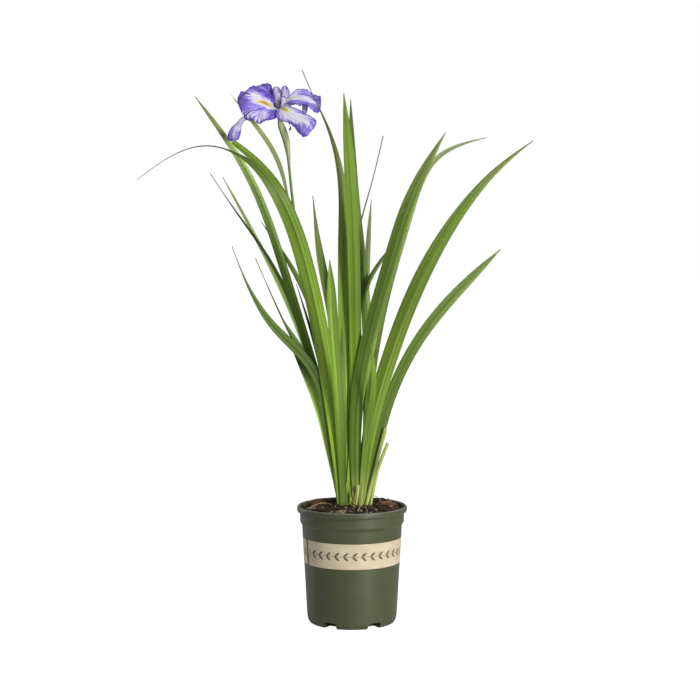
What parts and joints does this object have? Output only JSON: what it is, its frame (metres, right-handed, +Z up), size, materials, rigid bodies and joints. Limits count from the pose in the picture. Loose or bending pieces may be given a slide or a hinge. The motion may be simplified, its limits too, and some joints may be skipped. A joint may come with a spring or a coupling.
{
  "type": "potted iris plant",
  "caption": "Flowering iris with sword-shaped leaves in two fans and a violet flower on a round stem, in a round tapered nursery pot filled with soil.",
  "frame": {"origin": "middle of the pot's foot, on the surface that the pot stands on", "axes": "+Z up along the pot's axis, -Y towards the viewer of the picture, +X to the viewer's right"},
  "size_m": [0.5654, 0.2805, 0.8191],
  "materials": {
    "pot_green": "satin",
    "band_tan": "satin",
    "soil_dark": "matte",
    "leaf_bright": "satin",
    "leaf_mid": "satin",
    "leaf_dark": "satin",
    "leaf_olive": "satin",
    "leaf_pale": "satin",
    "dry_leaf": "matte",
    "petal_violet": "satin",
    "petal_pale": "satin",
    "petal_cream": "satin",
    "stamen_grey": "matte"
  },
  "bodies": {
    "root": {"pot": "pot_green", "label_band": "band_tan", "soil": "soil_dark", "leaf_left_front": "leaf_bright", "leaf_left_arching": "leaf_bright", "leaf_left_inner": "leaf_mid", "leaf_left_lower_sweep": "leaf_mid", "leaf_left_outer": "leaf_dark", "leaf_left_second": "leaf_bright", "leaf_left_low": "leaf_mid", "leaf_left_upright": "leaf_dark", "leaf_left_long": "leaf_mid", "leaf_left_hidden": "leaf_dark", "leaf_left_dark": "leaf_dark", "leaf_left_sliver": "leaf_mid", "leaf_left_olive": "leaf_olive", "leaf_left_thin": "leaf_mid", "leaf_middle_tall": "leaf_bright", "leaf_middle_tallest": "leaf_dark", "leaf_middle_crossing": "leaf_dark", "leaf_middle_hairlike": "leaf_dark", "leaf_middle_back": "leaf_dark", "leaf_right_short": "leaf_bright", "leaf_right_broad": "leaf_dark", "leaf_right_sweeping": "leaf_bright", "leaf_right_low": "leaf_mid", "leaf_right_curved": "leaf_olive", "leaf_right_upright": "leaf_olive", "leaf_back_left": "leaf_dark", "leaf_back_middle": "leaf_dark", "leaf_back_right": "leaf_dark", "leaf_back_far_right": "leaf_dark", "cut_stub_low": "leaf_pale", "cut_stub_high": "leaf_pale", "cut_stub_front": "leaf_pale", "dry_sheath": "dry_leaf", "flower_stem": "leaf_mid", "stem_leaf": "leaf_olive", "spathe_outer": "leaf_mid", "spathe_inner": "leaf_pale", "flower_tube": "leaf_pale", "fall_left": "petal_violet", "fall_front": "petal_violet", "fall_right": "petal_violet", "standard_front": "petal_pale", "standard_right": "petal_pale", "standard_back": "petal_pale", "style_arm_left": "petal_cream", "style_arm_right": "petal_cream", "style_arm_front": "petal_cream", "stamen": "stamen_grey"}
  },
  "joints": []
}
